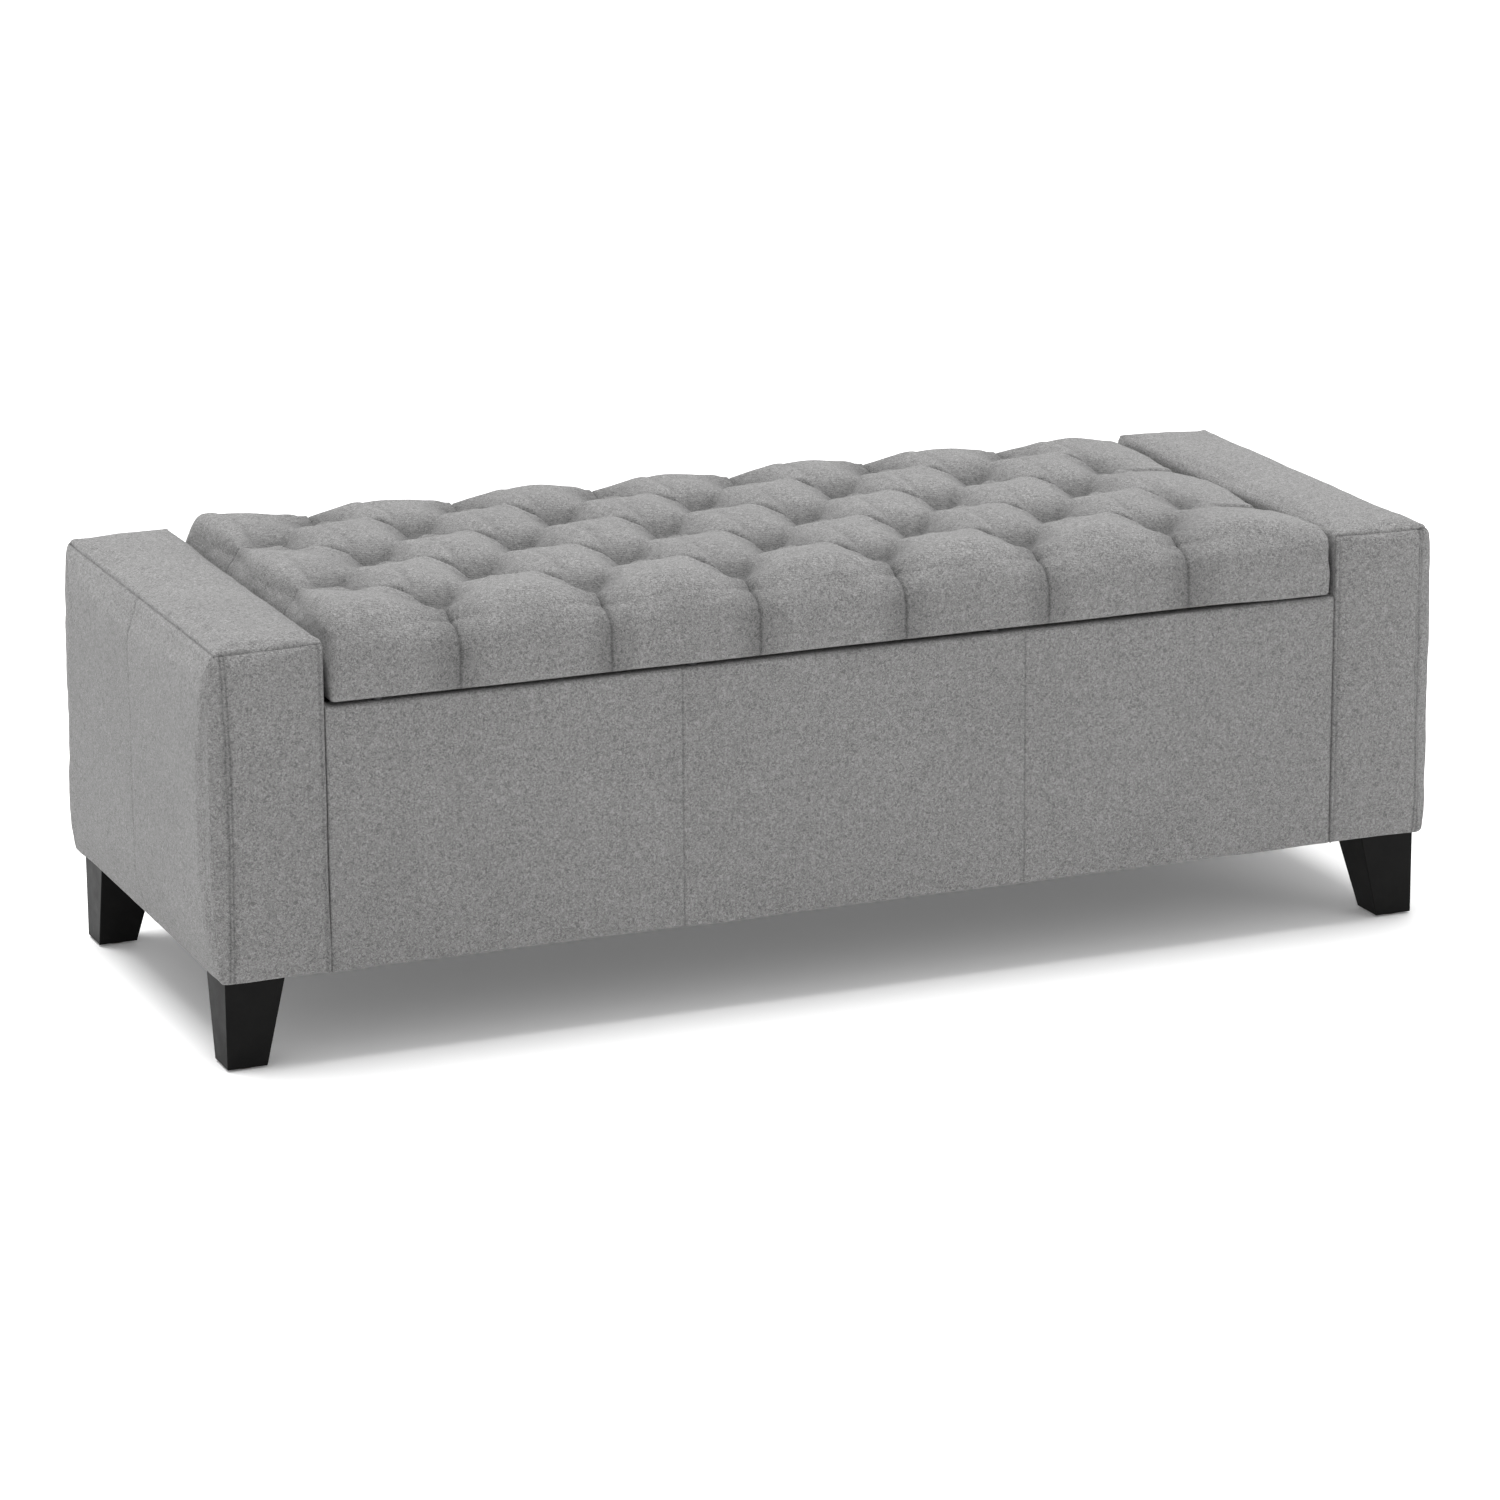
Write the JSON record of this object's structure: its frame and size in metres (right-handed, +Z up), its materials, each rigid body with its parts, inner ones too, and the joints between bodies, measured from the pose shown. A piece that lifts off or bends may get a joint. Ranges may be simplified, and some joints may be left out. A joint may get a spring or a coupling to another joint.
{
  "type": "storage bench",
  "caption": "Upholstered storage bench with a diamond-tufted lid that hinges up between two padded arm boxes, on four tapered legs.",
  "frame": {"origin": "on the floor, at the middle of the bench's outer box", "axes": "+X along the length to the sitter's left-hand side seen from the front, the viewer's right; +Y to the back; +Z up"},
  "size_m": [1.29, 0.496, 0.438],
  "materials": {
    "upholstery": "matte",
    "foam": "matte",
    "lining": "matte",
    "dust_cloth": "matte",
    "leg_paint": "satin",
    "panel_wood": "matte",
    "batten_wood": "matte",
    "steel": "satin",
    "zinc": "satin",
    "rubber": "matte",
    "felt": "matte",
    "twine": "matte"
  },
  "bodies": {
    "bench": {"arm_screws": "zinc", "back_board": "panel_wood", "back_cover": "upholstery", "compartment_lining": "lining", "dust_cover": "dust_cloth", "floor_batten_back": "batten_wood", "floor_batten_centre": "batten_wood", "floor_batten_front": "batten_wood", "floor_board": "panel_wood", "frame_screws": "zinc", "front_board": "panel_wood", "front_cover_centre": "upholstery", "front_cover_left": "upholstery", "front_cover_right": "upholstery", "front_foam": "foam", "hinge_frame_leaves": "steel", "hinge_pins": "steel", "hinge_rail": "batten_wood", "left_arm_back_board": "panel_wood", "left_arm_base_board": "panel_wood", "left_arm_cover": "upholstery", "left_arm_front_board": "panel_wood", "left_arm_front_foam": "foam", "left_arm_inner_board": "panel_wood", "left_arm_outer_board": "panel_wood", "left_arm_side_foam": "foam", "left_arm_top_board": "panel_wood", "left_arm_top_foam": "foam", "leg_bolts": "steel", "leg_front_left": "leg_paint", "leg_front_right": "leg_paint", "leg_glides": "felt", "leg_rear_left": "leg_paint", "leg_rear_right": "leg_paint", "leg_tee_nuts": "steel", "lid_bumpers": "rubber", "right_arm_back_board": "panel_wood", "right_arm_base_board": "panel_wood", "right_arm_cover": "upholstery", "right_arm_front_board": "panel_wood", "right_arm_front_foam": "foam", "right_arm_inner_board": "panel_wood", "right_arm_outer_board": "panel_wood", "right_arm_side_foam": "foam", "right_arm_top_board": "panel_wood", "right_arm_top_foam": "foam", "stay_studs": "steel"},
    "lid": {"lid_board": "panel_wood", "lid_foam": "foam", "lid_cover": "upholstery", "lid_lining": "lining", "tuft_twines": "twine", "tuft_washers": "zinc", "hinge_lid_leaves": "steel", "left_stay_bracket": "steel", "right_stay_bracket": "steel", "stay_rivets": "steel", "lid_screws": "zinc"},
    "left_stay": {"left_stay_arm": "steel"},
    "right_stay": {"right_stay_arm": "steel"}
  },
  "joints": [
    {"name": "lid_hinge", "type": "hinge", "parent": "bench", "child": "lid", "pos_m": [0, 0.2432, 0.352], "axis": [-1, 0, 0], "range_deg": [0, 80]},
    {"name": "left_stay_pivot", "type": "hinge", "parent": "lid", "child": "left_stay", "pos_m": [-0.5242, 0.11446, 0.33391], "axis": [1, 0, 0], "range_deg": [0, 40]},
    {"name": "right_stay_pivot", "type": "hinge", "parent": "lid", "child": "right_stay", "pos_m": [0.5242, 0.11446, 0.33391], "axis": [1, 0, 0], "range_deg": [0, 40]}
  ],
  "couplings": [
    {"joint": "left_stay_pivot", "follows": "lid_hinge", "ratio": 0.5},
    {"joint": "right_stay_pivot", "follows": "lid_hinge", "ratio": 0.5}
  ]
}
